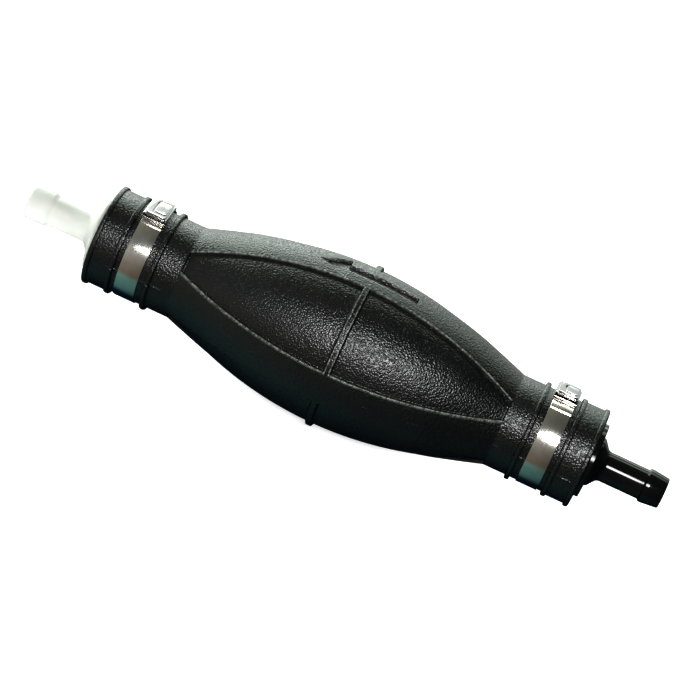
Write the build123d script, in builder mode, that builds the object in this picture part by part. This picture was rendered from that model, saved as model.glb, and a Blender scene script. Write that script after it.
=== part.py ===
from build123d import *
from math import asin, atan, cos, degrees, radians, sin, sqrt, tan
import os

os.makedirs("parts", exist_ok=True)

# In-line hand squeeze pump: a rubber bulb between two check valves.
# The pump's axis is X. Liquid goes in at the +X barb and out at the -X barb.
# The origin is the centre of the bulb, on the axis; +Z passes through the flow arrow.
# All lengths are in millimetres and all angles in degrees.

# ------------------------------------------------------------------ bulb
girth_radius = 22.0             # over the lands, at the middle of the bulb
bulb_half_length = 43.8         # from the girth to where the bulb meets a neck
side_steepness = 1.65           # slope where the bulb meets the neck, over its mean slope
bulb_wall = 2.4
neck_radius = 12.3
neck_length = 6.6               # from the bulb to the centre of the first ring rib
clamp_seat_pitch = 9.9          # between the centres of the two ribs that keep the clamp
collar_length = 6.1             # from the second rib's centre to the end rib's centre
collar_step = 0.45              # of the collar over the neck
rib_width = 1.3
rib_height = 0.95               # of the ring ribs, over the neck
rib_edge = 0.45                 # rounding of the ribs' crests
cuff_lip = 0.8                  # from the end rib's centre to the end of the cuff

# panels and arrow moulded into the bulb
panel_depth = 0.9
panel_half_width = 12.0         # at the girth, seen square on
panel_end_half_width = 2.8      # at the panel's cut-off ends
girth_rib_width = 2.4           # rib that crosses each panel at the girth
panel_count = 4
arrow_tip = 14.0                # from the girth, towards the outlet
arrow_shoulder = 6.1            # from the girth, towards the outlet
arrow_tail = 12.7               # from the girth, towards the inlet
arrow_shaft_width = 3.0
arrow_head_width = 8.4

# the two walls that are pressed
press_half_length = 31.0
press_half_width = 12.6
press_gap = 0.3                 # between a pressed wall and the rest of the bulb

# ------------------------------------------------------------------ fittings
plug_radius = 9.8
plug_proud = 1.2                # how far the plug stands out of the cuff
plug_edge = 0.4
ridge_height = 0.3              # rings on the plug that bite into the rubber
ridge_pitch = 4.0
ridge_width = 1.2
cone_base_radius = 6.5
cone_length = 2.6
tube_radius = 3.95              # of the hose tail behind its barb
tail_length = 16.5              # from the cone to the tip
passage_radius = 2.75           # bore of the hose tail
end_wall = 2.4                  # between the valve chamber and the plug's outer face
chamber_radius = 7.2
mouth_recess = 0.5              # depth of the chamber in front of the valve set
shoulder_width = 1.0            # step that the valve set rests on

# outlet barb: a long cylindrical head
outlet_barb_radius = 4.5
outlet_barb_length = 6.6
outlet_barb_back = 1.0          # length of the slope behind the head
outlet_barb_nose = 0.45

# inlet barb: a short crest and a long taper
inlet_barb_radius = 4.45
inlet_barb_set_back = 4.1       # from the tip to the front of the crest
inlet_barb_crest = 1.0
inlet_barb_back = 0.4
inlet_tip_radius = 4.0
inlet_tip_nose = 0.3

# ------------------------------------------------------------------ valve set
insert_clearance = 0.03         # radial, between the chamber and what is pressed into it
seat_thickness = 3.2
port_radius = 3.6
lip_height = 0.3                # raised ring that the washer closes on
lip_width = 0.6
seal_gap = 0.05                 # between washer and lip in the closed model
oring_section_radius = 0.7
oring_squeeze = 0.2
oring_groove_width = 1.9
washer_radius = 5.2
washer_thickness = 0.8
disc_radius = 5.6
disc_thickness = 1.2
nose_radius = 1.6               # spigot that carries the washer
nose_cap_radius = 2.2
nose_cap_thickness = 0.6
stem_radius = 1.2
stem_clearance = 0.05           # radial, in the guide
stem_short_of_guide = 0.3       # stem's end, inside the guide's far face when closed
spring_boss_height = 0.6
spring_boss_clearance = 0.3     # radial, inside the coils
spring_length = 6.8             # as fitted, valve closed
spring_mean_radius = 2.6
spring_wire_radius = 0.3
spring_turns = 5
spring_end_gap = 0.02
guide_thickness = 2.5
guide_rim = 1.1
hub_radius = 3.2
spoke_count = 3
spoke_width = 1.6
valve_lift = 2.2

# ------------------------------------------------------------------ clamps
band_width = 5.7
band_thickness = 0.38
clamp_shift = 0.25              # of the clamp from midway between its ribs, away from the bulb
band_bite = 0.1                 # how far the band squeezes into the rubber
lap_overlap = 0.05              # where the outer lap joins the band
lap_front = {"outlet": 24.0, "inlet": 33.0}      # lap's front end, from the buckle's middle
lap_back = 27.0
buckle_turn = {"outlet": 0.0, "inlet": -15.0}    # turn about +X away from +Z
buckle_length = 8.8             # of the flat plate on top, square to the axis
buckle_body_length = 8.6        # of the floor and the side walls
buckle_side = 0.2               # thickness of the buckle's two side walls
buckle_floor = 0.3
buckle_slot = 1.0               # from the buckle's floor to the underside of its plate
buckle_clearance = 0.05
plate_thickness = 0.5
plate_corner = 0.7
fold_width = 5.4                # of the band's folded end, flat on top of the plate
fold_length = 8.6
fold_thickness = 0.5
fold_corner = 0.9
tab_width = 3.4
tab_length = 5.6
tab_height = 0.35
tab_offset = 0.75               # of the tab from the plate's middle, along +X
tab_corner = 0.9
bar_radius = 0.3                # round bar across the buckle's front, over the lap

# ------------------------------------------------------------------ places along the axis
inner_rib_x = bulb_half_length + neck_length
outer_rib_x = inner_rib_x + clamp_seat_pitch
end_rib_x = outer_rib_x + collar_length
cuff_end = end_rib_x + cuff_lip
clamp_x = (inner_rib_x + outer_rib_x) / 2 + clamp_shift
plug_end = cuff_end + plug_proud
cone_end = plug_end + cone_length
half_length = cone_end + tail_length
rib_radius = neck_radius + rib_height
collar_radius = neck_radius + collar_step

washer_start = seat_thickness + lip_height + seal_gap
disc_start = washer_start + washer_thickness
disc_end = disc_start + disc_thickness
guide_start = disc_end + spring_length
stack_length = guide_start + guide_thickness
sump_depth = valve_lift
sump_end = plug_end - end_wall
shoulder_x = sump_end - sump_depth
plug_start = shoulder_x - stack_length - mouth_recess

side = {"outlet": -1, "inlet": 1}
# Upstream face of each seat ring. Both valves open towards -X, so the set in the outlet
# starts at the chamber's mouth and the set in the inlet starts at the chamber's shoulder.
seat_x = {"outlet": -(plug_start + mouth_recess), "inlet": shoulder_x}


def side_curve(crown, foot, run):
    """Radius and half angle of the arc of a bulb side, from its crown down to its neck."""
    slope = side_steepness * (crown - foot) / run
    angle = atan(slope)
    radius = (run * slope - (crown - foot)) / (1 / cos(angle) - 1)
    return radius, angle


def bulb_form(lowered):
    """Solid of revolution of the bulb's side alone, moved inwards by `lowered`, down to the axis."""
    radius, angle = side_curve(girth_radius, neck_radius, bulb_half_length)
    centre_r = girth_radius - radius
    arc = radius - lowered
    end_x = arc * sin(angle)
    end_r = centre_r + arc * cos(angle)
    foot_x = bulb_half_length + lowered
    foot_r = end_r - (foot_x - end_x) * tan(angle)
    with BuildPart() as form:
        with BuildSketch(Plane.XY):
            with BuildLine():
                CenterArc((0, centre_r), arc, 90 - degrees(angle), degrees(angle))
                Polyline((end_x, end_r), (foot_x, foot_r), (foot_x, 0), (0, 0), (0, centre_r + arc))
            make_face()
            mirror(about=Plane.YZ)
        revolve(axis=Axis.X)
    return form.part


# ------------------------------------------------------------------ rubber bulb
side_radius, side_angle = side_curve(girth_radius, neck_radius, bulb_half_length)
side_centre = girth_radius - side_radius
outer_arc_end = (side_radius * sin(side_angle), side_centre + side_radius * cos(side_angle))
inner_arc = side_radius - bulb_wall
inner_arc_end = (inner_arc * sin(side_angle), side_centre + inner_arc * cos(side_angle))
inner_neck_x = inner_arc_end[0] + (inner_arc_end[1] - plug_radius) / tan(side_angle)

with BuildPart() as whole_bulb:
    with BuildSketch(Plane.XY) as bulb_section:
        with BuildLine():
            CenterArc((0, side_centre), side_radius, 90 - degrees(side_angle), degrees(side_angle))
            Polyline(
                outer_arc_end,
                (bulb_half_length, neck_radius),
                (inner_rib_x - rib_width / 2, neck_radius),
                (inner_rib_x - rib_width / 2, rib_radius),
                (inner_rib_x + rib_width / 2, rib_radius),
                (inner_rib_x + rib_width / 2, neck_radius),
                (outer_rib_x - rib_width / 2, neck_radius),
                (outer_rib_x - rib_width / 2, rib_radius),
                (outer_rib_x + rib_width / 2, rib_radius),
                (outer_rib_x + rib_width / 2, collar_radius),
                (end_rib_x - rib_width / 2, collar_radius),
                (end_rib_x - rib_width / 2, rib_radius),
                (cuff_end, rib_radius),
                (cuff_end, plug_radius),
                (inner_neck_x, plug_radius),
                inner_arc_end,
            )
            CenterArc((0, side_centre), inner_arc, 90 - degrees(side_angle), degrees(side_angle))
            Line((0, side_centre + inner_arc), (0, girth_radius))
        make_face()
        crests = bulb_section.vertices().filter_by(lambda v: abs(v.Y - rib_radius) < 0.001)
        fillet(crests, radius=rib_edge)
        mirror(about=Plane.YZ)
    revolve(axis=Axis.X)

panel_floor = bulb_form(panel_depth)

with BuildPart() as mould_marks:
    for index in range(panel_count):
        turn = radians(360 / panel_count * (index + 0.5))
        panel_plane = Plane(origin=(0, 0, 0), x_dir=(1, 0, 0), z_dir=(0, cos(turn), sin(turn)))
        with BuildSketch(panel_plane):
            with BuildLine():
                ThreePointArc(
                    (-bulb_half_length, panel_end_half_width),
                    (0, panel_half_width),
                    (bulb_half_length, panel_end_half_width),
                )
                Line(
                    (bulb_half_length, panel_end_half_width),
                    (bulb_half_length, -panel_end_half_width),
                )
                ThreePointArc(
                    (bulb_half_length, -panel_end_half_width),
                    (0, -panel_half_width),
                    (-bulb_half_length, -panel_end_half_width),
                )
                Line(
                    (-bulb_half_length, -panel_end_half_width),
                    (-bulb_half_length, panel_end_half_width),
                )
            make_face()
        extrude(amount=2 * girth_radius)
    Box(girth_rib_width, 4 * girth_radius, 4 * girth_radius, mode=Mode.SUBTRACT)
    with BuildSketch(Plane.XY):
        with BuildLine():
            Polyline(
                (-arrow_tip, 0),
                (-arrow_shoulder, arrow_head_width / 2),
                (-arrow_shoulder, arrow_shaft_width / 2),
                (arrow_tail, arrow_shaft_width / 2),
                (arrow_tail, -arrow_shaft_width / 2),
                (-arrow_shoulder, -arrow_shaft_width / 2),
                (-arrow_shoulder, -arrow_head_width / 2),
                close=True,
            )
        make_face()
    extrude(amount=2 * girth_radius)
    add(panel_floor, mode=Mode.SUBTRACT)

with BuildPart() as marked_bulb:
    add(whole_bulb.part)
    add(mould_marks.part, mode=Mode.SUBTRACT)

with BuildPart() as bulb_shell:
    add(marked_bulb.part)
    with BuildSketch(Plane.XY):
        Ellipse(press_half_length + press_gap, press_half_width + press_gap)
    extrude(amount=2 * girth_radius, both=True, mode=Mode.SUBTRACT)
bulb_shell.part.label = "bulb_shell"
export_step(bulb_shell.part, "parts/bulb_shell.step")

with BuildPart() as thumb_wall:
    add(marked_bulb.part)
    with BuildSketch(Plane.XY):
        Ellipse(press_half_length, press_half_width)
    extrude(amount=2 * girth_radius, mode=Mode.INTERSECT)
thumb_wall.part.label = "thumb_wall"
export_step(thumb_wall.part, "parts/thumb_wall.step")

with BuildPart() as finger_wall:
    add(marked_bulb.part)
    with BuildSketch(Plane.XY):
        Ellipse(press_half_length, press_half_width)
    extrude(amount=-2 * girth_radius, mode=Mode.INTERSECT)
finger_wall.part.label = "finger_wall"
export_step(finger_wall.part, "parts/finger_wall.step")


# ------------------------------------------------------------------ fittings
def barb_outline(end):
    """Points of the hose tail's outline, from the cone to the tip, as (distance, radius)."""
    if end == "outlet":
        head = half_length - outlet_barb_length
        return [
            (cone_end, tube_radius),
            (head, tube_radius),
            (head + outlet_barb_back, outlet_barb_radius),
            (half_length - outlet_barb_nose, outlet_barb_radius),
            (half_length, outlet_barb_radius - outlet_barb_nose),
        ]
    crest = half_length - inlet_barb_set_back - inlet_barb_crest
    return [
        (cone_end, tube_radius),
        (crest - inlet_barb_back, tube_radius),
        (crest, inlet_barb_radius),
        (crest + inlet_barb_crest, inlet_barb_radius),
        (half_length - inlet_tip_nose, inlet_tip_radius),
        (half_length, inlet_tip_radius - inlet_tip_nose),
    ]


for end in ("outlet", "inlet"):
    ridge_points = []
    for ridge_middle in (clamp_x - ridge_pitch / 2, clamp_x + ridge_pitch / 2):
        ridge_points += [
            (ridge_middle - ridge_width / 2, plug_radius),
            (ridge_middle, plug_radius + ridge_height),
            (ridge_middle + ridge_width / 2, plug_radius),
        ]
    outline = [
        (plug_start, chamber_radius),
        (plug_start, plug_radius - plug_edge),
        (plug_start + plug_edge, plug_radius),
        *ridge_points,
        (plug_end - plug_edge, plug_radius),
        (plug_end, plug_radius - plug_edge),
        (plug_end, cone_base_radius),
        *barb_outline(end),
        (half_length, passage_radius),
        (sump_end, passage_radius),
        (sump_end, chamber_radius - shoulder_width),
        (shoulder_x, chamber_radius - shoulder_width),
        (shoulder_x, chamber_radius),
    ]
    with BuildPart() as fitting:
        with BuildSketch(Plane.XY):
            with BuildLine():
                Polyline(*[(side[end] * x, r) for x, r in outline], close=True)
            make_face()
        revolve(axis=Axis.X)
    fitting.part.label = end + "_fitting"
    export_step(fitting.part, "parts/" + end + "_fitting.step")


# ------------------------------------------------------------------ valve sets
groove_bottom = chamber_radius - 2 * oring_section_radius + oring_squeeze
insert_radius = chamber_radius - insert_clearance
spring_boss_radius = spring_mean_radius - spring_wire_radius - spring_boss_clearance
lip_inner_radius = port_radius + lip_width / 2

for end in ("outlet", "inlet"):

    def at(distance):
        """X of a point `distance` downstream of the seat ring's upstream face."""
        return seat_x[end] - distance

    with BuildPart() as seat_ring:
        groove_start = (seat_thickness - oring_groove_width) / 2
        with BuildSketch(Plane.XY):
            with BuildLine():
                Polyline(
                    (at(0), port_radius),
                    (at(0), insert_radius),
                    (at(groove_start), insert_radius),
                    (at(groove_start), groove_bottom),
                    (at(groove_start + oring_groove_width), groove_bottom),
                    (at(groove_start + oring_groove_width), insert_radius),
                    (at(seat_thickness), insert_radius),
                    (at(seat_thickness), lip_inner_radius + lip_width),
                    (at(seat_thickness + lip_height), lip_inner_radius + lip_width),
                    (at(seat_thickness + lip_height), lip_inner_radius),
                    (at(seat_thickness), lip_inner_radius),
                    (at(seat_thickness), port_radius),
                    close=True,
                )
            make_face()
        revolve(axis=Axis.X)
    seat_ring.part.label = end + "_seat_ring"
    export_step(seat_ring.part, "parts/" + end + "_seat_ring.step")

    with BuildPart() as oring:
        with BuildSketch(Plane.XY):
            with Locations((at(seat_thickness / 2), groove_bottom + oring_section_radius)):
                Circle(oring_section_radius)
        revolve(axis=Axis.X)
    oring.part.label = end + "_seat_oring"
    export_step(oring.part, "parts/" + end + "_seat_oring.step")

    with BuildPart() as poppet:
        with BuildSketch(Plane.XY):
            with BuildLine():
                Polyline(
                    (at(washer_start - nose_cap_thickness), 0),
                    (at(washer_start - nose_cap_thickness), nose_cap_radius),
                    (at(washer_start), nose_cap_radius),
                    (at(washer_start), nose_radius),
                    (at(disc_start), nose_radius),
                    (at(disc_start), disc_radius),
                    (at(disc_end), disc_radius),
                    (at(disc_end), spring_boss_radius),
                    (at(disc_end + spring_boss_height), spring_boss_radius),
                    (at(disc_end + spring_boss_height), stem_radius),
                    (at(stack_length - stem_short_of_guide), stem_radius),
                    (at(stack_length - stem_short_of_guide), 0),
                    close=True,
                )
            make_face()
        revolve(axis=Axis.X)
    poppet.part.label = end + "_poppet"
    export_step(poppet.part, "parts/" + end + "_poppet.step")

    with BuildPart() as washer:
        with BuildSketch(Plane.YZ.offset(at(disc_start))):
            Circle(washer_radius)
            Circle(nose_radius, mode=Mode.SUBTRACT)
        extrude(amount=washer_thickness)
    washer.part.label = end + "_poppet_washer"
    export_step(washer.part, "parts/" + end + "_poppet_washer.step")

    with BuildPart() as spring:
        spring_pitch = spring_length / spring_turns
        coil = Helix(
            pitch=spring_pitch,
            height=spring_length,
            radius=spring_mean_radius,
            center=(at(guide_start), 0, 0),
            direction=(1, 0, 0),
        )
        with BuildSketch(Plane(origin=coil @ 0, z_dir=coil % 0)):
            Circle(spring_wire_radius)
        sweep(path=coil, is_frenet=True)
        with Locations((at(guide_start) + spring_length / 2, 0, 0)):
            Box(
                spring_length - 2 * spring_end_gap,
                4 * spring_mean_radius,
                4 * spring_mean_radius,
                mode=Mode.INTERSECT,
            )
    spring.part.label = end + "_spring"
    export_step(spring.part, "parts/" + end + "_spring.step")

    with BuildPart() as guide:
        with BuildSketch(Plane.YZ.offset(at(stack_length))):
            Circle(insert_radius)
            Circle(insert_radius - guide_rim, mode=Mode.SUBTRACT)
            Circle(hub_radius)
            with PolarLocations((insert_radius - guide_rim + hub_radius) / 2, spoke_count):
                Rectangle(insert_radius - hub_radius - guide_rim / 2, spoke_width)
        extrude(amount=guide_thickness)
        with BuildSketch(Plane.YZ.offset(at(guide_start))):
            Circle(spring_boss_radius)
        extrude(amount=spring_boss_height)
        with BuildSketch(Plane.YZ.offset(at(stack_length))):
            Circle(stem_radius + stem_clearance)
        extrude(amount=stack_length, mode=Mode.SUBTRACT)
    guide.part.label = end + "_guide"
    export_step(guide.part, "parts/" + end + "_guide.step")


# ------------------------------------------------------------------ clamps
band_inner = neck_radius - band_bite
band_outer = band_inner + band_thickness
lap_inner = band_outer - lap_overlap
lap_outer = lap_inner + band_thickness
floor_outer = band_inner + buckle_floor
plate_base = floor_outer + buckle_slot
fold_base = plate_base + plate_thickness
tab_base = fold_base + fold_thickness
slot_width = band_width + 2 * buckle_clearance
buckle_width = slot_width + 2 * buckle_side
bar_reach = buckle_body_length / 2 - bar_radius
bar_lift = sqrt((lap_outer + buckle_clearance + bar_radius) ** 2 - bar_reach ** 2)
gap_angle = degrees(asin(buckle_body_length / 2 / band_inner) + buckle_clearance / band_inner)
far = 3 * neck_radius


def wedge(front, back):
    """Corners of a wedge from the axis, between two angles either side of the buckle's middle."""
    return [
        (0, 0),
        (-far * sin(radians(front)), far * cos(radians(front))),
        (far * sin(radians(back)), far * cos(radians(back))),
    ]


for end in ("outlet", "inlet"):
    # Section plane square to the axis, turned so that its +Y runs through the buckle's middle.
    turn = radians(buckle_turn[end])
    middle = (side[end] * clamp_x, 0, 0)
    across = Plane(origin=middle, x_dir=(0, cos(turn), sin(turn)), z_dir=(1, 0, 0))

    with BuildPart() as band:
        with BuildSketch(across.offset(-band_width / 2)):
            Circle(band_outer)
            Circle(band_inner, mode=Mode.SUBTRACT)
            with BuildLine():
                Polyline(*wedge(gap_angle, gap_angle), close=True)
            make_face(mode=Mode.SUBTRACT)
        extrude(amount=band_width)
        with BuildSketch(across.offset(-band_width / 2)):
            Circle(lap_outer)
            Circle(lap_inner, mode=Mode.SUBTRACT)
            with BuildLine():
                Polyline(*wedge(lap_front[end], lap_back), close=True)
            make_face(mode=Mode.INTERSECT)
        extrude(amount=band_width)
    band.part.label = end + "_clamp_band"
    export_step(band.part, "parts/" + end + "_clamp_band.step")

    with BuildPart() as buckle:
        with BuildSketch(across.offset(-buckle_width / 2)):
            with Locations((0, plate_base / 2)):
                Rectangle(buckle_body_length, plate_base)
            Circle(band_inner, mode=Mode.SUBTRACT)
        extrude(amount=buckle_width)
        with BuildSketch(across.offset(-slot_width / 2)):
            with Locations((0, plate_base / 2)):
                Rectangle(far, plate_base)
            Circle(floor_outer, mode=Mode.SUBTRACT)
        extrude(amount=slot_width, mode=Mode.SUBTRACT)
        with BuildSketch(across.offset(-buckle_width / 2)):
            with Locations((-bar_reach, bar_lift)):
                Circle(bar_radius)
        extrude(amount=buckle_width)
        plate_plane = Plane(origin=middle, x_dir=(1, 0, 0), z_dir=(0, -sin(turn), cos(turn)))
        with BuildSketch(plate_plane.offset(plate_base)):
            RectangleRounded(buckle_width, buckle_length, plate_corner)
        extrude(amount=plate_thickness)
        with BuildSketch(plate_plane.offset(fold_base)):
            RectangleRounded(fold_width, fold_length, fold_corner)
        extrude(amount=fold_thickness)
        with BuildSketch(plate_plane.offset(tab_base)):
            with Locations((tab_offset, 0)):
                RectangleRounded(tab_width, tab_length, tab_corner)
        extrude(amount=tab_height)
    buckle.part.label = end + "_clamp_buckle"
    export_step(buckle.part, "parts/" + end + "_clamp_buckle.step")
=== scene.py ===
"""Looks of an in-line hand squeeze pump.

A grained rubber bulb with four grip panels, a white and a black hose barb, and steel band clamps.
Sizes are in millimetres and are turned into metres where a mesh is made. Materials, floor, lamps and
camera are in metres. X runs from the outlet (-) to the inlet (+), -Y is the front and Z is up.
"""
import math

import bpy
from mathutils import Matrix, Vector


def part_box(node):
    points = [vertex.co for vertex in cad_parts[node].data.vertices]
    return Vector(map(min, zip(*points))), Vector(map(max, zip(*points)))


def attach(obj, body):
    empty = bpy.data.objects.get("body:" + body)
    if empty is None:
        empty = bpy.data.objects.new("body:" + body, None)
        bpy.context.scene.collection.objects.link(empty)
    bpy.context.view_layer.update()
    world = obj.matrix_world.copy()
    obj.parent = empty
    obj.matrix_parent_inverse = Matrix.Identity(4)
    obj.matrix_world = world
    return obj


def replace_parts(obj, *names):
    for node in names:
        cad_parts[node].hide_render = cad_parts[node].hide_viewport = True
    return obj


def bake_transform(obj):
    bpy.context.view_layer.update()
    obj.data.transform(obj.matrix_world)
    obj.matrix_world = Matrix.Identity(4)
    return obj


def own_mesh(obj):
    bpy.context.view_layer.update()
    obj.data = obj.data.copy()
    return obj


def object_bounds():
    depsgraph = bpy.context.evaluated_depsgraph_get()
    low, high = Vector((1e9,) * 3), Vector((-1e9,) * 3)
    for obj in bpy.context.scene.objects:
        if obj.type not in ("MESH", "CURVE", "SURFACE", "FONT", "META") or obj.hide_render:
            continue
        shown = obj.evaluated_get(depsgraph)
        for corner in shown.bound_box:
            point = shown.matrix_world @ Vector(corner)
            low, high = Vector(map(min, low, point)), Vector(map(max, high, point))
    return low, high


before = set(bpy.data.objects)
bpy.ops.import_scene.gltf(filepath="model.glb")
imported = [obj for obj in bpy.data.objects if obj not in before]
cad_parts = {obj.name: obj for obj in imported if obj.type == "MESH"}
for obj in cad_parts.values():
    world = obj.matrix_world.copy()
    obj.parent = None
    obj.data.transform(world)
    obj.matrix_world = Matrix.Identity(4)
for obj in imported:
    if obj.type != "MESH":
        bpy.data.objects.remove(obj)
cad_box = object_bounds()
MM = 0.001

# ---------------------------------------------------------------- sizes of the solids
GIRTH_CLEARANCE = 0.01          # these two keep the visible pieces inside the solids' box
TIP_CLEARANCE = 0.002

CUFF_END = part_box("bulb_shell")[1].x / MM
GIRTH_RADIUS = min(cad_box[1].y, cad_box[1].z) / MM - GIRTH_CLEARANCE
INLET_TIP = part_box("inlet_fitting")[1].x / MM - TIP_CLEARANCE
PLUG_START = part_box("inlet_fitting")[0].x / MM

# ---------------------------------------------------------------- bulb
BULB_HALF = 43.8                # girth to neck
SIDE_STEEPNESS = 1.65           # slope at the neck over the mean slope of the side
NECK_RADIUS = 12.3
WALL = 2.4
BORE_RADIUS = 9.8
COLLAR_RADIUS = 12.7
RIB_HEIGHT = 0.95
RIB_WIDTH = 1.35
RIB_STEEPNESS = 0.55            # powers that make a rib's sides steep and its crest round
RIB_ROUNDNESS = 0.6
MOUTH_LIP = 0.05                # from the last rib to the cuff's end
MOUTH_DROPS = (0.6, 0.75)       # below the collar, just past the last rib and at the cuff's end
INNER_RIB = 50.4                # ring ribs, from the girth
OUTER_RIB = 60.3
END_RIB = CUFF_END - RIB_WIDTH / 2 - MOUTH_LIP

PANEL_DEPTH = 0.9
PANEL_HALF_WIDTH = 12.0
PANEL_END_HALF_WIDTH = 2.8
PANEL_WALL = 0.38               # width of the slope round a panel
GIRTH_RIB_HALF = 1.2            # rib across the panels, at the girth
GIRTH_RIB_EDGE = 0.6

ARROW_TIP = -14.0
ARROW_SHOULDER = -6.1
ARROW_TAIL = 12.7
ARROW_HEAD_HALF = 4.2
ARROW_SHAFT_HALF = 1.5
ARROW_WALL = 0.32
ARROW_REACH = math.radians(16)  # either side of the crown

PAINTED_HIGHLIGHT_WIDTH = 0.24               # width of the painted highlight, a pale line painted along the moulded edges
OUTSIDE_MARGIN = 0.1            # a point this far below a panel's floor is still on the outside

FLASH_OFFSETS = (0.0, 0.09, 0.18, 0.32)     # columns beside the mould parting line
FLASH_HEIGHT = 0.16
FLASH_WAVES = ((0.61, 0.0, 1.0), (0.23, 1.3, 1.0), (1.7, 0.4, 0.5))     # rate, start and share
FLASH_COVER = 0.6               # how little of the line is broken
FLASH_ON_BULB = 0.55            # its height on the bulb, as a share of that on the cuffs
FLASH_START = 5                 # from the girth
FLASH_FADE = 3

# Lengths of the mesh rows, from the girth to the cuff's end.
ARROW_STEP = 0.16
SIDE_STEP = 0.8
END_STEP = 0.12
NECK_STEP = 0.7
CUFF_STEP = 1.2
COLLAR_STEP = 0.8
PAST_ARROW = 0.8                # where the fine rows of the arrow end, past its tip
END_WALL = 2.2                  # where the fine rows of the panels' ends start, before the neck
NECK_TURN = (-0.2, 0.1, 0.4)    # last row of the side, row between and first row of the neck
NECK_TURN_RISE = 0.02           # height of the row between, over the neck
BEFORE_INNER_RIB = 0.2
BEFORE_RIB = 0.8
AFTER_RIB = 1.0

# Columns of the mesh, from the middle of a land to the middle of a panel.
TOP_LAND_CELLS = 30
PLAIN_LAND_CELLS = 8
WALL_CELLS = 8
WALL_MARGIN = 0.1               # either side of a panel's wall
PANEL_CELLS = 14
INNER_CELLS = 44                # half way round the inside

mean_drop = GIRTH_RADIUS - NECK_RADIUS
side_angle = math.atan(SIDE_STEEPNESS * mean_drop / BULB_HALF)
side_radius = (BULB_HALF * math.tan(side_angle) - mean_drop) / (1 / math.cos(side_angle) - 1)
side_centre = GIRTH_RADIUS - side_radius
panel_arc = (BULB_HALF ** 2 + (PANEL_HALF_WIDTH - PANEL_END_HALF_WIDTH) ** 2) / (
    2 * (PANEL_HALF_WIDTH - PANEL_END_HALF_WIDTH))


def side_profile(distance, lowered=0.0):
    """Radius of the bulb's side at a distance from the girth, moved inwards by `lowered`."""
    radius = side_radius - lowered
    end = radius * math.sin(side_angle)
    if distance <= end:
        return side_centre + math.sqrt(radius ** 2 - distance ** 2)
    return side_centre + radius * math.cos(side_angle) - (distance - end) * math.tan(side_angle)


def smooth(value):
    """0 below 0, 1 above 1, and a smooth step between."""
    value = min(1.0, max(0.0, value))
    return value * value * (3 - 2 * value)


def spaced(start, end, step):
    """Values from start up to, but not at, end, about `step` apart."""
    count = max(1, round((end - start) / step))
    return [start + (end - start) * i / count for i in range(count)]


def rib_rows(middle, width, base_before, base_after, crest, steps=13):
    """Outline points over a ring rib with steep sides and a rounded crest."""
    points = []
    for i in range(steps + 1):
        turn = math.pi * i / steps
        along = -math.copysign(abs(math.cos(turn)) ** RIB_STEEPNESS, math.cos(turn))
        base = base_before if along < 0 else base_after
        height = (crest - base) * abs(math.sin(turn)) ** RIB_ROUNDNESS
        points.append((middle + along * width / 2, base + height))
    return points


def outer_rows():
    """Outline of one half of the bulb and its cuff, from the girth to the cuff's end."""
    arrow_end = -ARROW_TIP + PAST_ARROW
    wall_start = BULB_HALF - END_WALL
    side_end, between, neck_start = (BULB_HALF + offset for offset in NECK_TURN)
    neck_end = INNER_RIB - RIB_WIDTH / 2 - BEFORE_INNER_RIB
    crest = NECK_RADIUS + RIB_HEIGHT
    behind_rib, at_end = (COLLAR_RADIUS - drop for drop in MOUTH_DROPS)
    rows = [(x, side_profile(x)) for x in spaced(0, arrow_end, ARROW_STEP)]
    rows += [(x, side_profile(x)) for x in spaced(arrow_end, wall_start, SIDE_STEP)]
    rows += [(x, side_profile(x)) for x in spaced(wall_start, side_end, END_STEP)]
    rows += [(between, NECK_RADIUS + NECK_TURN_RISE)]
    rows += [(x, NECK_RADIUS) for x in spaced(neck_start, neck_end, NECK_STEP)]
    rows += rib_rows(INNER_RIB, RIB_WIDTH, NECK_RADIUS, NECK_RADIUS, crest)
    rows += [(x, NECK_RADIUS)
             for x in spaced(INNER_RIB + AFTER_RIB, OUTER_RIB - BEFORE_RIB, CUFF_STEP)]
    rows += rib_rows(OUTER_RIB, RIB_WIDTH, NECK_RADIUS, COLLAR_RADIUS, crest)
    rows += [(x, COLLAR_RADIUS)
             for x in spaced(OUTER_RIB + AFTER_RIB, END_RIB - BEFORE_RIB, COLLAR_STEP)]
    rows += rib_rows(END_RIB, RIB_WIDTH, COLLAR_RADIUS, behind_rib, crest)
    rows += [(CUFF_END, at_end)]
    return rows


ROWS = outer_rows()
LAST_BULB_ROW = max(i for i, (x, _) in enumerate(ROWS) if x <= BULB_HALF)


def inner_point(row):
    """Distance and radius on the inside of the rubber, opposite a row of the outline."""
    distance = ROWS[row][0]
    if row > LAST_BULB_ROW:
        start = ROWS[LAST_BULB_ROW][0]
        cuff_rows = len(ROWS) - 1 - LAST_BULB_ROW
        distance = start + (CUFF_END - start) * (row - LAST_BULB_ROW) / cuff_rows
    return distance, max(BORE_RADIUS, side_profile(distance, WALL))


def panel_angle(distance):
    """Half of a panel's angle round the axis, at a distance from the girth."""
    distance = min(distance, BULB_HALF)
    half_width = PANEL_HALF_WIDTH - panel_arc + math.sqrt(panel_arc ** 2 - distance ** 2)
    return math.asin(half_width / side_profile(distance))


def half_quadrant(distance, radius, land_cells, flash):
    """Angles of the mesh columns from the middle of a land to the middle of a panel."""
    edge = math.pi / 4 - panel_angle(distance)
    outside = edge - WALL_MARGIN / radius
    inside = edge + (PANEL_WALL + WALL_MARGIN) / radius
    angles = [offset / radius for offset in FLASH_OFFSETS] if flash else [0.0]
    for end, cells in ((outside, land_cells), (inside, WALL_CELLS), (math.pi / 4, PANEL_CELLS)):
        start = angles[-1]
        angles += [start + (end - start) * i / cells for i in range(1, cells + 1)]
    return angles


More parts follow.
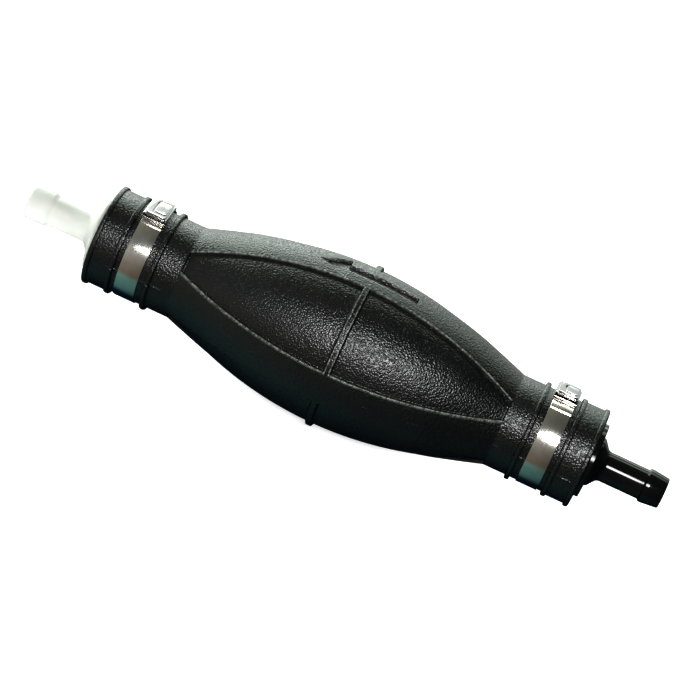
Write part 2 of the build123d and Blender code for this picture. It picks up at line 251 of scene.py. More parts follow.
def half_turn(distance, radius, crown_cells):
    """Column angles of one half of the bulb, from +90 to -90 degrees about its crown."""
    side = half_quadrant(distance, radius, PLAIN_LAND_CELLS, True)
    crown = half_quadrant(distance, radius, crown_cells, False)
    quarter = [math.pi / 2 - a for a in side] + crown[-2::-1]
    return quarter + [-a for a in quarter[-2::-1]]


def arrow_inside(x, y):
    """How far a point of the crown lies inside the flow arrow's outline, in millimetres."""
    y = abs(y)
    slope = ARROW_HEAD_HALF / (ARROW_SHOULDER - ARROW_TIP)
    flank = ((x - ARROW_TIP) * slope - y) / math.hypot(1, slope)
    head = min(flank, ARROW_SHOULDER - x)
    shaft = min(ARROW_SHAFT_HALF - y, ARROW_TAIL - x, x - ARROW_SHOULDER + 2 * ARROW_WALL)
    return max(head, shaft)


def flash_height(x):
    """Height of the broken mould flash along the parting line."""
    broken = sum(share * math.sin(rate * x + start) for rate, start, share in FLASH_WAVES)
    level = FLASH_ON_BULB if abs(x) < BULB_HALF else 1.0
    fade = smooth((abs(x) - FLASH_START) / FLASH_FADE)
    return FLASH_HEIGHT * level * smooth(broken + FLASH_COVER) * fade


def surface_radius(x, radius, angle, marked):
    """Radius of the outside at an angle from the crown, with panels, arrow and flash."""
    distance = abs(x)
    result = radius
    if distance < BULB_HALF:
        from_panel = abs(abs(angle) - math.pi / 4)
        aside = (panel_angle(distance) - from_panel) * radius
        ahead = BULB_HALF - distance
        depth = smooth(min(aside, ahead) / PANEL_WALL)
        depth *= smooth((distance - GIRTH_RIB_HALF + GIRTH_RIB_EDGE) / GIRTH_RIB_EDGE)
        result -= PANEL_DEPTH * depth
        if marked and abs(angle) < ARROW_REACH:
            result -= PANEL_DEPTH * smooth(arrow_inside(x, radius * math.sin(angle)) / ARROW_WALL)
    to_seam = (math.pi / 2 - abs(angle)) * radius
    return result + flash_height(x) * (1 - smooth(to_seam / FLASH_OFFSETS[-1]))


def lip_highlight_amount(x, radius, angle):
    """Share of painted highlight on the upper rubber, from 0 to 1: a pale line painted along the lips
    of its panels and arrow.
    """
    distance = abs(x)
    if distance > BULB_HALF:
        return 0.0
    aside = (panel_angle(distance) - abs(abs(angle) - math.pi / 4)) * radius
    from_lip = min(aside, BULB_HALF - distance, distance - GIRTH_RIB_HALF + GIRTH_RIB_EDGE)
    painted_lip_highlight = 1 - smooth(abs(from_lip) / PAINTED_HIGHLIGHT_WIDTH)
    if abs(angle) < ARROW_REACH:
        painted_lip_highlight = max(painted_lip_highlight, 1 - smooth(abs(arrow_inside(x, radius * math.sin(angle))) / PAINTED_HIGHLIGHT_WIDTH))
    return painted_lip_highlight


# ---------------------------------------------------------------- mesh helpers
SMOOTH_ANGLE = math.radians(38)     # faces that meet at less than this are shaded smooth
DOUBLE_GAP = 0.002                  # points closer than this are merged
TURN_STEPS = 96                     # faces round a turned piece
CORNER_SHARE = 0.48                 # most of an edge that one rounded corner uses up


def clear_selection():
    if bpy.context.object is not None and bpy.context.object.mode != "OBJECT":
        bpy.ops.object.mode_set(mode="OBJECT")
    bpy.ops.object.select_all(action="DESELECT")


def select_all_of_mesh():
    bpy.ops.object.mode_set(mode="EDIT")
    bpy.ops.mesh.select_mode(type="VERT")
    bpy.ops.mesh.select_all(action="SELECT")


def close_and_smooth(piece):
    """Merges doubles, fills holes, points the faces outwards and shades soft edges smooth."""
    select_all_of_mesh()
    bpy.ops.mesh.remove_doubles(threshold=DOUBLE_GAP * MM)
    bpy.ops.mesh.select_all(action="SELECT")
    bpy.ops.mesh.fill_holes(sides=0)
    bpy.ops.mesh.select_all(action="SELECT")
    bpy.ops.mesh.normals_make_consistent(inside=False)
    bpy.ops.object.mode_set(mode="OBJECT")
    bpy.ops.object.shade_smooth_by_angle(angle=SMOOTH_ANGLE)
    return piece


def formed_tube(name, rows, columns, place):
    """A grid rolled into a closed tube: place(row, column) gives each point, in millimetres."""
    clear_selection()
    bpy.ops.mesh.primitive_grid_add(x_subdivisions=rows, y_subdivisions=columns, size=2)
    piece = bpy.context.object
    piece.name = name
    for vertex in piece.data.vertices:
        row = round((vertex.co.x + 1) / 2 * rows)
        column = round((vertex.co.y + 1) / 2 * columns) % columns
        vertex.co = Vector(place(row, column)) * MM
    return close_and_smooth(piece)


def turned(name, outline):
    """A closed outline of (x, radius) points, turned once round the X axis."""
    clear_selection()
    bpy.ops.mesh.primitive_circle_add(vertices=len(outline), radius=1, fill_type="NOTHING")
    piece = bpy.context.object
    piece.name = name
    for vertex, (x, radius) in zip(piece.data.vertices, outline):
        vertex.co = Vector((x, 0, radius)) * MM
    select_all_of_mesh()
    bpy.ops.mesh.spin(steps=TURN_STEPS, angle=2 * math.pi, center=(0, 0, 0), axis=(1, 0, 0))
    bpy.ops.object.mode_set(mode="OBJECT")
    return close_and_smooth(piece)


def rounded(corners, segments=4):
    """Points of a closed outline whose corners (x, y, rounding) are each made an arc."""
    points = []
    for i, (x, y, rounding) in enumerate(corners):
        here = Vector((x, y))
        before = Vector(corners[i - 1][:2]) - here
        after = Vector(corners[(i + 1) % len(corners)][:2]) - here
        if rounding <= 0:
            points.append((x, y))
            continue
        half = before.angle(after) / 2
        reach = min(rounding / math.tan(half),
                    before.length * CORNER_SHARE, after.length * CORNER_SHARE)
        start = here + before.normalized() * reach
        end = here + after.normalized() * reach
        for k in range(segments + 1):
            t = k / segments
            points.append(tuple((1 - t) ** 2 * start + 2 * t * (1 - t) * here + t * t * end))
    return points


def apply_modifiers(piece):
    clear_selection()
    piece.select_set(True)
    bpy.context.view_layer.objects.active = piece
    for modifier in list(piece.modifiers):
        bpy.ops.object.modifier_apply(modifier=modifier.name)


# ---------------------------------------------------------------- materials
def new_material(name):
    material = bpy.data.materials.new(name)
    material.use_nodes = True
    tree = material.node_tree
    return material, tree, tree.nodes["Principled BSDF"]


def node(tree, kind, values=None, **settings):
    """A shader node with its settings and the values of its sockets."""
    made = tree.nodes.new(kind)
    for key, value in settings.items():
        setattr(made, key, value)
    for key, value in (values or {}).items():
        made.inputs[key].default_value = value
    return made


def ramp(tree, source, stops):
    """Colour ramp from (position, colour) stops, driven by a socket."""
    made = tree.nodes.new("ShaderNodeValToRGB")
    while len(made.color_ramp.elements) < len(stops):
        made.color_ramp.elements.new(0.5)
    for element, (position, colour) in zip(made.color_ramp.elements, stops):
        element.position = position
        element.color = (*colour, 1)
    tree.links.new(source, made.inputs[0])
    return made.outputs[0]


def grey(value):
    return (value, value, value)


def bulb_rubber():
    """Black rubber with a pebbled grain, and a painted highlight: a pale line along its moulded lips.
    """
    material, tree, shader = new_material("grained_bulb_rubber")
    place = node(tree, "ShaderNodeTexCoord").outputs["Object"]
    pebble = node(tree, "ShaderNodeTexVoronoi", {"Scale": 1900}, feature="F1")
    tree.links.new(place, pebble.inputs["Vector"])
    domes = ramp(tree, pebble.outputs["Distance"],
                 [(0.0, grey(1)), (0.35, grey(0.62)), (0.75, grey(0))])
    uneven = node(tree, "ShaderNodeTexNoise", {"Scale": 1300, "Detail": 2})
    tree.links.new(place, uneven.inputs["Vector"])
    heights = node(tree, "ShaderNodeMath", operation="MULTIPLY")
    tree.links.new(domes, heights.inputs[0])
    tree.links.new(uneven.outputs["Fac"], heights.inputs[1])
    fine = node(tree, "ShaderNodeTexNoise", {"Scale": 4200, "Detail": 3})
    tree.links.new(place, fine.inputs["Vector"])
    coarse_bump = node(tree, "ShaderNodeBump", {"Strength": 1.0, "Distance": 0.00015})
    tree.links.new(heights.outputs[0], coarse_bump.inputs["Height"])
    fine_bump = node(tree, "ShaderNodeBump", {"Strength": 0.6, "Distance": 0.000012})
    tree.links.new(fine.outputs["Fac"], fine_bump.inputs["Height"])
    tree.links.new(coarse_bump.outputs[0], fine_bump.inputs["Normal"])
    tree.links.new(fine_bump.outputs[0], shader.inputs["Normal"])
    cloud = node(tree, "ShaderNodeTexNoise", {"Scale": 70, "Detail": 4})
    tree.links.new(place, cloud.inputs["Vector"])
    colour = ramp(tree, cloud.outputs["Fac"],
                  [(0.3, (0.0022, 0.0028, 0.0035)), (0.7, (0.004, 0.005, 0.006))])
    # Painted highlight: a pale line along the lips of the panels and arrow, broken up by noise.
    painted_lip_highlight = node(tree, "ShaderNodeAttribute", attribute_name="painted_lip_highlight")
    patchy = ramp(tree, uneven.outputs["Fac"], [(0.4, grey(0.25)), (0.6, grey(1))])
    broken_highlight = node(tree, "ShaderNodeMath", operation="MULTIPLY")
    tree.links.new(painted_lip_highlight.outputs["Fac"], broken_highlight.inputs[0])
    tree.links.new(patchy, broken_highlight.inputs[1])
    mixed = node(tree, "ShaderNodeMix", data_type="RGBA")
    # colour of the painted highlight line
    mixed.inputs["B"].default_value = (0.30, 0.32, 0.30, 1)
    tree.links.new(broken_highlight.outputs[0], mixed.inputs["Factor"])
    tree.links.new(colour, mixed.inputs["A"])
    tree.links.new(mixed.outputs["Result"], shader.inputs["Base Color"])
    polish = ramp(tree, cloud.outputs["Fac"], [(0.3, grey(0.27)), (0.7, grey(0.34))])
    tree.links.new(polish, shader.inputs["Roughness"])
    shader.inputs["Specular IOR Level"].default_value = 0.7
    shader.inputs["IOR"].default_value = 1.6
    return material


def clamp_steel(name, low, high, roughness):
    """Bright steel with fine drawn lines and faint stains, between a low and a high colour."""
    material, tree, shader = new_material(name)
    place = node(tree, "ShaderNodeTexCoord").outputs["Object"]
    stretch = node(tree, "ShaderNodeMapping", {"Scale": (9000, 260, 260)})
    tree.links.new(place, stretch.inputs["Vector"])
    lines = node(tree, "ShaderNodeTexNoise", {"Scale": 1.0, "Detail": 3})
    tree.links.new(stretch.outputs[0], lines.inputs["Vector"])
    shine = ramp(tree, lines.outputs["Fac"],
                 [(0.3, grey(roughness * 0.75)), (0.7, grey(roughness * 1.25))])
    tree.links.new(shine, shader.inputs["Roughness"])
    bump = node(tree, "ShaderNodeBump", {"Strength": 0.1, "Distance": 0.00001})
    tree.links.new(lines.outputs["Fac"], bump.inputs["Height"])
    tree.links.new(bump.outputs[0], shader.inputs["Normal"])
    stain = node(tree, "ShaderNodeTexNoise", {"Scale": 260, "Detail": 3})
    tree.links.new(place, stain.inputs["Vector"])
    colour = ramp(tree, stain.outputs["Fac"], [(0.35, low), (0.65, high)])
    tree.links.new(colour, shader.inputs["Base Color"])
    shader.inputs["Metallic"].default_value = 1.0
    return material


def moulded_plastic(name, low, high, roughness, grain, grain_scale=900, subsurface=0.0):
    """Moulded plastic or rubber, clouded between two colours, with a fine skin of height `grain`."""
    material, tree, shader = new_material(name)
    place = node(tree, "ShaderNodeTexCoord").outputs["Object"]
    cloud = node(tree, "ShaderNodeTexNoise", {"Scale": 140, "Detail": 4})
    tree.links.new(place, cloud.inputs["Vector"])
    colour = ramp(tree, cloud.outputs["Fac"], [(0.3, low), (0.7, high)])
    tree.links.new(colour, shader.inputs["Base Color"])
    polish = ramp(tree, cloud.outputs["Fac"],
                  [(0.3, grey(roughness * 0.85)), (0.7, grey(roughness * 1.2))])
    tree.links.new(polish, shader.inputs["Roughness"])
    skin = node(tree, "ShaderNodeTexNoise", {"Scale": grain_scale, "Detail": 3})
    tree.links.new(place, skin.inputs["Vector"])
    bump = node(tree, "ShaderNodeBump", {"Strength": 0.5, "Distance": grain})
    tree.links.new(skin.outputs["Fac"], bump.inputs["Height"])
    tree.links.new(bump.outputs[0], shader.inputs["Normal"])
    if subsurface:
        shader.inputs["Subsurface Weight"].default_value = subsurface
        shader.inputs["Subsurface Radius"].default_value = (1.0, 1.0, 0.95)
        shader.inputs["Subsurface Scale"].default_value = 0.0015
    return material


RUBBER = bulb_rubber()
STEEL = clamp_steel("rolled_stainless", (0.80, 0.77, 0.71), (0.93, 0.91, 0.87), 0.16)
# The buckle's steel is the band's steel painted darker: painted shade that keeps its plate from
# glaring white.
SHADED_BUCKLE_STEEL = clamp_steel("buckle_stainless_painted_darker", (0.60, 0.59, 0.58), (0.68, 0.67, 0.66), 0.11)
WHITE = moulded_plastic("natural_white_nylon", (0.63, 0.64, 0.61), (0.70, 0.71, 0.68),
                        roughness=0.34, grain=0.00002, subsurface=0.25)
BLACK = moulded_plastic("gloss_black_nylon", (0.002, 0.0025, 0.003), (0.004, 0.0045, 0.005),
                        roughness=0.11, grain=0.00001)
VALVE = moulded_plastic("valve_acetal", (0.72, 0.72, 0.68), (0.80, 0.80, 0.76),
                        roughness=0.4, grain=0.00002)
SEAL = moulded_plastic("seal_rubber", grey(0.012), grey(0.022),
                       roughness=0.6, grain=0.00003, grain_scale=2500)


def dress(piece, material):
    """Gives a piece its material."""
    piece.data.materials.clear()
    piece.data.materials.append(material)
    return piece


def bulb_quarter(name, side, up, wall):
    """One closed quarter of the bulb, towards one end (side) and above or below Z = 0 (up)."""
    marked = up > 0
    crown_cells = TOP_LAND_CELLS if marked else PLAIN_LAND_CELLS
    loops = []
    for row, (x, radius) in enumerate(ROWS):
        loop = []
        for angle in half_turn(x, radius, crown_cells):
            r = surface_radius(side * x, radius, angle, marked)
            loop.append((side * x, r * math.sin(angle), up * r * math.cos(angle)))
        inner_x, inner_r = inner_point(row)
        for i in range(INNER_CELLS + 1):
            angle = -math.pi / 2 + math.pi * i / INNER_CELLS
            loop.append((side * inner_x, inner_r * math.sin(angle), up * inner_r * math.cos(angle)))
        loops.append(loop)
    piece = formed_tube(name, len(loops) - 1, len(loops[0]), lambda row, column: loops[row][column])
    # Painted highlight: how much pale line each point on the lips of the upper panels and arrow gets.
    painted_lip_highlight = piece.data.attributes.new("painted_lip_highlight", "FLOAT", "POINT")
    for index, vertex in enumerate(piece.data.vertices):
        x, y, z = vertex.co / MM
        radius = math.hypot(y, z)
        panel_floor = side_profile(min(abs(x), BULB_HALF)) - PANEL_DEPTH
        if marked and radius > panel_floor - OUTSIDE_MARGIN:
            painted_lip_highlight.data[index].value = lip_highlight_amount(x, radius, math.atan2(y, z))
    dress(piece, RUBBER)
    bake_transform(piece)
    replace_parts(piece, "bulb_shell", wall)


for side, end in ((-1, "outlet"), (1, "inlet")):
    bulb_quarter("bulb_upper_" + end, side, 1, "thumb_wall")
    bulb_quarter("bulb_lower_" + end, side, -1, "finger_wall")

# ---------------------------------------------------------------- fittings
PLUG_RADIUS = 9.8
PLUG_END = CUFF_END + 1.2
CONE_BASE = 6.6
CONE_STEP = (0.75, 0.25)        # the cone starts this far out and this much slimmer than its base
CONE_END = PLUG_END + 2.6
TUBE_RADIUS = 3.95
PASSAGE_RADIUS = 2.75
CHAMBER_RADIUS = 7.2
SUMP_RADIUS = 6.2
SUMP_END = PLUG_END - 2.4
SHOULDER = SUMP_END - 2.2

# Corners (x, radius, rounding) of the hose tails, with the inlet's own x for both.
INLET_BARB = 4.45
INLET_NOSE = 4.0
INLET_TAIL = [
    (INLET_TIP - 5.5, TUBE_RADIUS, 0.1),
    (INLET_TIP - 5.1, INLET_BARB, 0.18),
    (INLET_TIP - 4.1, INLET_BARB, 0.4),
    (INLET_TIP, INLET_NOSE, 0.35),
]
OUTLET_BARB = 4.5
OUTLET_TAIL = [
    (INLET_TIP - 6.6, TUBE_RADIUS, 0.5),
    (INLET_TIP - 5.6, OUTLET_BARB, 0.5),
    (INLET_TIP, OUTLET_BARB, 0.6),
]


def fitting(name, side, tail, material):
    """Plug, cone and hose tail of one end, with its passage and valve chamber."""
    corners = [
        (PLUG_START, CHAMBER_RADIUS, 0.1),
        (PLUG_START, PLUG_RADIUS, 0.4),
        (PLUG_END, PLUG_RADIUS, 0.22),
        (PLUG_END, CONE_BASE, 0.35),
        (PLUG_END + CONE_STEP[0], CONE_BASE - CONE_STEP[1], 0.3),
        (CONE_END, TUBE_RADIUS, 1.6),
        *tail,
        (INLET_TIP, PASSAGE_RADIUS, 0.3),
        (SUMP_END, PASSAGE_RADIUS, 0.1),
        (SUMP_END, SUMP_RADIUS, 0.1),
        (SHOULDER, SUMP_RADIUS, 0.05),
        (SHOULDER, CHAMBER_RADIUS, 0.05),
    ]
    outline = [(side * x, r) for x, r in rounded(corners)]
    piece = dress(turned(name, outline), material)
    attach(piece, "pump_body")
    return piece


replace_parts(fitting("outlet_barb_white", -1, OUTLET_TAIL, WHITE), "outlet_fitting")
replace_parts(fitting("inlet_barb_black", 1, INLET_TAIL, BLACK), "inlet_fitting")

# ---------------------------------------------------------------- clamps
BAND_WIDTH = 5.7
BAND_THICKNESS = 0.38
BAND_EDGE = 0.12                # rounding of the band's edges
BAND_INNER = NECK_RADIUS - 0.1
LAP_SINK = 0.03                 # the lap presses this far into the turn below it

# Angles in degrees, forwards from the middle of the buckle.
STRIP_START = 21.0
STRIP_ROWS = 260
LAP_CLIMB = (300.0, 332.0)      # where the second turn climbs onto the first
LAP_FRONT = {"outlet": 24.0, "inlet": 33.0}     # where it ends
BUCKLE_TURN = {"outlet": 0.0, "inlet": 15.0}    # of the buckle itself, backwards from the top


def strip_section():
    """Rounded rectangle of the band's section: offsets along the axis and outwards."""
    half, high, edge = BAND_WIDTH / 2, BAND_THICKNESS, BAND_EDGE
    return rounded([(-half, 0, edge), (half, 0, edge), (half, high, edge), (-half, high, edge)], 3)


def clamp_frame(end):
    """Middle of a clamp and the turn of its buckle about the axis."""
    low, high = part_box(end + "_clamp_band")
    return (low.x + high.x) / 2 / MM, math.radians(BUCKLE_TURN[end])


def round_axis(x, radius, angle):
    """Point at an angle past the top, away from the front."""
    return (x, radius * math.sin(angle), radius * math.cos(angle))


def band(end):
    """One clamp's band, one turn and its lap."""
    middle, turn = clamp_frame(end)
    section = strip_section()
    last = 360 + LAP_FRONT[end]

    def place(row, column):
        travelled = STRIP_START + (last - STRIP_START) * row / STRIP_ROWS
        climb = smooth((travelled - LAP_CLIMB[0]) / (LAP_CLIMB[1] - LAP_CLIMB[0]))
        along, outward = section[column]
        radius = BAND_INNER + outward + climb * (BAND_THICKNESS - LAP_SINK)
        return round_axis(middle + along, radius, turn - math.radians(travelled))

    piece = formed_tube(end + "_band_steel", STRIP_ROWS, len(section), place)
    dress(piece, STEEL)
    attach(piece, "pump_body")
    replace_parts(piece, end + "_clamp_band")


BEVEL_ANGLE = math.radians(40)  # edges sharper than this are bevelled
CORNER_SEGMENTS = 6

# Blocks of a buckle: size, centre over the plate's base, bevel, its segments and corner rounding.
PLATE_BASE = BAND_INNER + 1.3
SHEET_TOP = 0.5                 # from the plate's base to the base of the sheet folded over it
FOLDED_SHEET = ((5.4, 8.6, 0.52), (0, 0, SHEET_TOP + 0.24), 0.15, 4, 0.9)
PLATE = ((6.15, 8.75, 0.5), (0, 0, 0.25), 0.16, 4, 0.8)
PRESSED_TAB = ((3.3, 5.2, 0.5), (0.78, -0.35, SHEET_TOP + 0.42), 0.17, 4, 0.85)
LEFT_CHEEK = ((0.2, 8.5, 2.2), (-3.0, 0, -0.85), 0.07, 3, 0.0)
RIGHT_CHEEK = ((0.2, 8.5, 2.2), (3.0, 0, -0.85), 0.07, 3, 0.0)

BAR_RADIUS = 0.3                # round bar across the front of the buckle
BAR_LENGTH = 6.18
BAR_PLACE = (0, -4.0, 12.64)
BAR_EDGE = 0.08

# Groove pressed round the tab, in the buckle's own place.
GROOVE_ENTRY = [(-1.05, -3.3), (-1.05, 1.5)]
GROOVE_BEND = (-0.15, 1.5)      # centre of the bend
GROOVE_BEND_RADIUS = 0.9
GROOVE_BEND_ROWS = 6
GROOVE_EXIT = [(-0.15, 2.4), (1.4, 2.4)]
GROOVE_SECTION = [(-0.22, -0.42), (0.22, -0.42), (0.22, 0.3), (-0.22, 0.3)]
GROOVE_LEVEL = 0.6              # over the base of the folded sheet


def add_block(size, centre, bevel, segments, corner):
    """A bevelled block in its own object, with its four upright corners rounded first."""
    clear_selection()
    bpy.ops.mesh.primitive_cube_add(size=1, location=(0, 0, 0))
    block = bpy.context.object
    for vertex in block.data.vertices:
        vertex.co = Vector((vertex.co[i] * size[i] + centre[i] for i in range(3))) * MM
    if corner:
        bpy.ops.object.mode_set(mode="EDIT")
        bpy.ops.mesh.select_mode(type="EDGE")
        bpy.ops.mesh.select_all(action="DESELECT")
        bpy.ops.object.mode_set(mode="OBJECT")
        for edge in block.data.edges:
            a, b = (block.data.vertices[i].co for i in edge.vertices)
            edge.select = abs(a.z - b.z) > 0.5 * size[2] * MM
        bpy.ops.object.mode_set(mode="EDIT")
        bpy.ops.mesh.bevel(offset=corner * MM, segments=CORNER_SEGMENTS, affect="EDGES")
        bpy.ops.object.mode_set(mode="OBJECT")
    modifier = block.modifiers.new("edges", "BEVEL")
    modifier.width = bevel * MM
    modifier.segments = segments
    modifier.limit_method = "ANGLE"
    modifier.angle_limit = BEVEL_ANGLE
    apply_modifiers(block)
    return block


def tab_groove(level):
    """A C-shaped cutter round two sides of the pressed tab, at a height over the axis."""
    turns = [math.pi / 2 * k / GROOVE_BEND_ROWS for k in range(1, GROOVE_BEND_ROWS)]
    bend = [(GROOVE_BEND[0] - GROOVE_BEND_RADIUS * math.cos(turn),
             GROOVE_BEND[1] + GROOVE_BEND_RADIUS * math.sin(turn)) for turn in turns]
    path = GROOVE_ENTRY + bend + GROOVE_EXIT

    def place(row, column):
        before, after = path[max(0, row - 1)], path[min(len(path) - 1, row + 1)]
        along = Vector((after[0] - before[0], after[1] - before[1])).normalized()
        sideways, upwards = GROOVE_SECTION[column]
        x, y = path[row]
        return (x - along.y * sideways, y + along.x * sideways, level + upwards)

    return formed_tube("groove_cutter", len(path) - 1, len(GROOVE_SECTION), place)


def buckle_block(size, centre, bevel, segments, corner):
    """One of the blocks listed above, at its height over the axis."""
    x, y, over_plate = centre
    return add_block(size, (x, y, PLATE_BASE + over_plate), bevel, segments, corner)


def buckle_bar():
    clear_selection()
    bpy.ops.mesh.primitive_cylinder_add(vertices=24, radius=BAR_RADIUS * MM, depth=BAR_LENGTH * MM,
                                        location=Vector(BAR_PLACE) * MM, rotation=(0, math.pi / 2, 0))
    bpy.ops.object.transform_apply(location=True, rotation=True, scale=True)
    bar = bpy.context.object
    bar.modifiers.new("edges", "BEVEL").width = BAR_EDGE * MM
    apply_modifiers(bar)
    return bar


def buckle(end):
    """One clamp's buckle: a folded sheet with a grooved tab over a plate, two cheeks and a bar."""
    middle, turn = clamp_frame(end)
    fold = buckle_block(*FOLDED_SHEET)
    cutter = tab_groove(PLATE_BASE + SHEET_TOP + GROOVE_LEVEL)
    carve = fold.modifiers.new("groove", "BOOLEAN")
    carve.operation = "DIFFERENCE"
    carve.object = cutter
    apply_modifiers(fold)
    bpy.data.objects.remove(cutter)
    parts = [fold]
    for block in (PLATE, PRESSED_TAB, LEFT_CHEEK, RIGHT_CHEEK):
        parts.append(buckle_block(*block))
    parts.append(buckle_bar())
    clear_selection()
    for part in parts:
        part.select_set(True)
    bpy.context.view_layer.objects.active = parts[0]
    bpy.ops.object.join()
    piece = bpy.context.object
    piece.name = end + "_buckle_steel"
    piece.data.transform(Matrix.Translation((middle * MM, 0, 0)) @ Matrix.Rotation(-turn, 4, "X"))
    bpy.ops.object.shade_smooth_by_angle(angle=SMOOTH_ANGLE)
    # the buckle gets the darker copy of the band's steel, painted shade
    dress(piece, SHADED_BUCKLE_STEEL)
    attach(piece, "pump_body")
    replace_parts(piece, end + "_clamp_buckle")


for end in ("outlet", "inlet"):
    band(end)
    buckle(end)

# ---------------------------------------------------------------- valve sets
COIL_RADIUS = 2.6
WIRE_RADIUS = 0.3
COIL_TURNS = 5
ROWS_PER_TURN = 28
WIRE_SIDES = 12


def spring(end):
    """One valve's coil spring, which its poppet squashes towards the outlet."""
    low, high = (corner.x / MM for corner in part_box(end + "_spring"))
    rows = COIL_TURNS * ROWS_PER_TURN

    def place(row, column):
        turn = 2 * math.pi * COIL_TURNS * row / rows
        wire = 2 * math.pi * column / WIRE_SIDES
        radius = COIL_RADIUS + WIRE_RADIUS * math.cos(wire)
        along = low + WIRE_RADIUS + (high - low - 2 * WIRE_RADIUS) * row / rows
        along += WIRE_RADIUS * math.sin(wire)
        return (along, radius * math.cos(turn), radius * math.sin(turn))

    piece = formed_tube(end + "_spring_coil", rows, WIRE_SIDES, place)
    dress(piece, STEEL)
    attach(piece, "pump_body")
    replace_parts(piece, end + "_spring")
    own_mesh(piece)


for end in ("outlet", "inlet"):
    spring(end)
    for part in ("seat_ring", "guide", "poppet"):
        dress(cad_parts[end + "_" + part], VALVE)
    for part in ("seat_oring", "poppet_washer"):
        dress(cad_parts[end + "_" + part], SEAL)

# ---------------------------------------------------------------- floor, light and camera
FLOOR_SIZE = 6.0
FLOOR_GAP = 0.0002
clear_selection()
bpy.ops.mesh.primitive_plane_add(size=FLOOR_SIZE, location=(0, 0, cad_box[0].z - FLOOR_GAP))
floor = bpy.context.object
floor.name = "floor"
floor_material, _, floor_shader = new_material("pale_floor")
floor_shader.inputs["Base Color"].default_value = (0.93, 0.94, 0.95, 1)
floor_shader.inputs["Roughness"].default_value = 0.9
floor_shader.inputs["Specular IOR Level"].default_value = 0.0
floor_shader.inputs["Emission Color"].default_value = (1, 1, 1, 1)
floor_shader.inputs["Emission Strength"].default_value = 0.68
floor.data.materials.append(floor_material)
floor.visible_glossy = False


def soft_light(name, size, location, power):
    """A rectangular lamp that faces the middle of the pump."""
    data = bpy.data.lights.new(name, "AREA")
    data.shape = "RECTANGLE"
    data.size, data.size_y = size
    data.energy = power
    lamp = bpy.data.objects.new(name, data)
    bpy.context.scene.collection.objects.link(lamp)
    lamp.location = location
    lamp.rotation_euler = (-Vector(location)).to_track_quat("-Z", "Y").to_euler()
    return lamp


for side in (-1, 1):
    lamp = soft_light("side", size=(0.5, 0.5), location=(side * 0.95, -0.5, 0.5), power=1.2)
    lamp.visible_glossy = False
# Two narrow lamps give the upper land and the panels their sheen.
soft_light("above_camera", size=(0.44, 0.06), location=(0.045, -0.55, 0.43), power=1.3)
soft_light("beside_camera", size=(0.15, 0.2), location=(0.125, -0.55, 0.46), power=2.2)
# The rear lamp is only seen as a gloss on the bulb's shoulders.
rear = soft_light("behind", size=(0.35, 0.15), location=(-0.2, 0.75, 0.27), power=0.55)
rear.visible_diffuse = False

# The room's colour by the angle in degrees above the front horizon, over the top to the back.
# Angles below 0 are under the horizon. No colour is brighter than SKY_STRENGTH.
SKY_STRENGTH = 5.2
BRIGHT_WALL = (4.6, 5.2, 4.7)
WALL_GAP = (1.1, 1.15, 1.15)
SKY = [
    (-180, WALL_GAP), (-176, WALL_GAP),
    (-171, (2.4, 2.6, 2.4)), (-160, (0.5, 0.55, 0.5)),              # low back wall, fading down
    (-148, (0.003, 0.008, 0.02)), (-95, (0.004, 0.012, 0.03)),      # dark ground behind and below
    (-78, (0.09, 0.21, 0.21)), (-40, (0.18, 0.33, 0.31)),           # blue-green ground in front
    (-30, (0.22, 0.18, 0.14)), (0, (0.30, 0.28, 0.25)),             # warm front edge and horizon
    (24, (0.40, 0.39, 0.37)), (45, (0.20, 0.21, 0.21)),             # front wall
    (86, (0.22, 0.22, 0.19)), (122, (0.32, 0.32, 0.26)),            # ceiling
    (129, BRIGHT_WALL), (137, BRIGHT_WALL),                         # upper strip of the back wall
    (140, WALL_GAP), (153, WALL_GAP),
    (156, BRIGHT_WALL), (166, BRIGHT_WALL),                         # lower strip
    (169, WALL_GAP), (180, WALL_GAP),
]
SKY_SIDES = (1.5, 0.05)         # share of the room's brightness at the left and at the right
SKY_REACH = 0.7                 # how far to the sides it goes on changing, 1 being straight out
world = bpy.data.worlds.new("studio")
bpy.context.scene.world = world
world.use_nodes = True
sky = world.node_tree
direction = node(sky, "ShaderNodeTexCoord").outputs["Generated"]
split = node(sky, "ShaderNodeSeparateXYZ")
sky.links.new(direction, split.inputs[0])
forward = node(sky, "ShaderNodeMath", {1: -1.0}, operation="MULTIPLY")
sky.links.new(split.outputs["Y"], forward.inputs[0])
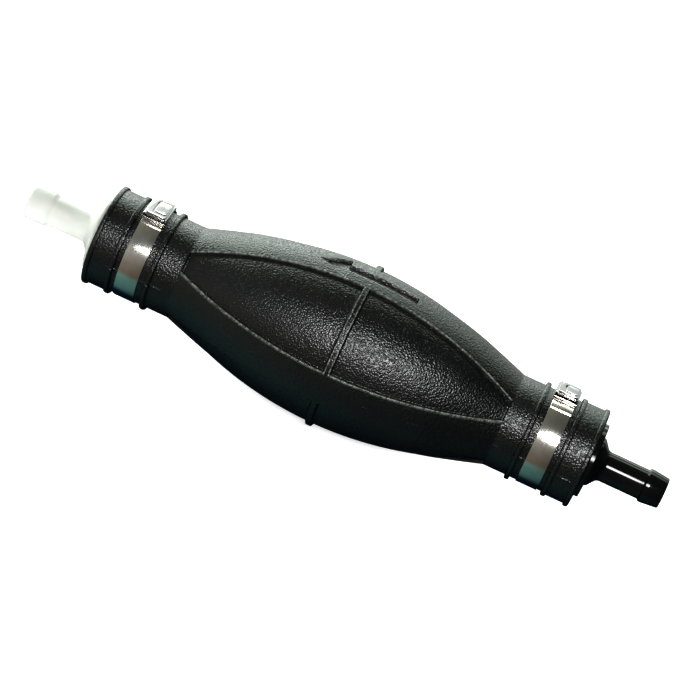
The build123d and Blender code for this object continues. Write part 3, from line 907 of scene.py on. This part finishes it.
rise = node(sky, "ShaderNodeMath", operation="ARCTAN2")
sky.links.new(split.outputs["Z"], rise.inputs[0])
sky.links.new(forward.outputs[0], rise.inputs[1])
turn_share = node(sky, "ShaderNodeMapRange", {"From Min": -math.pi, "From Max": math.pi})
sky.links.new(rise.outputs[0], turn_share.inputs["Value"])
shade = ramp(sky, turn_share.outputs[0],
             [((angle + 180) / 360, [c / SKY_STRENGTH for c in colour]) for angle, colour in SKY])
across = node(sky, "ShaderNodeMapRange", {
    "From Min": -SKY_REACH, "From Max": SKY_REACH,
    "To Min": SKY_STRENGTH * SKY_SIDES[0], "To Max": SKY_STRENGTH * SKY_SIDES[1]})
sky.links.new(split.outputs["X"], across.inputs["Value"])
background = sky.nodes["Background"]
sky.links.new(shade, background.inputs["Color"])
sky.links.new(across.outputs[0], background.inputs["Strength"])

CAMERA_DISTANCE = 0.69
CAMERA_AZIMUTH = math.radians(4.2)
CAMERA_ELEVATION = math.radians(33.8)
CAMERA_ROLL = math.radians(22.55)
CAMERA_TARGET = Vector((0.00095, 0, -0.0002))
CAMERA_LENS = 142.4
CAMERA_SENSOR = 36
CAMERA_CLIP = 0.01
camera_data = bpy.data.cameras.new("camera")
camera_data.lens = CAMERA_LENS
camera_data.sensor_width = CAMERA_SENSOR
camera_data.clip_start = CAMERA_CLIP
camera = bpy.data.objects.new("camera", camera_data)
bpy.context.scene.collection.objects.link(camera)
back = Vector((math.sin(CAMERA_AZIMUTH) * math.cos(CAMERA_ELEVATION),
               -math.cos(CAMERA_AZIMUTH) * math.cos(CAMERA_ELEVATION),
               math.sin(CAMERA_ELEVATION)))
camera.location = CAMERA_TARGET + back * CAMERA_DISTANCE
level = (-back).to_track_quat("-Z", "Y").to_matrix().to_4x4()
camera.matrix_world = (Matrix.Translation(camera.location) @ level
                       @ Matrix.Rotation(CAMERA_ROLL, 4, "Z"))
bpy.context.scene.camera = camera
view = bpy.context.scene.view_settings
view.view_transform = "Standard"
view.gamma = 0.75
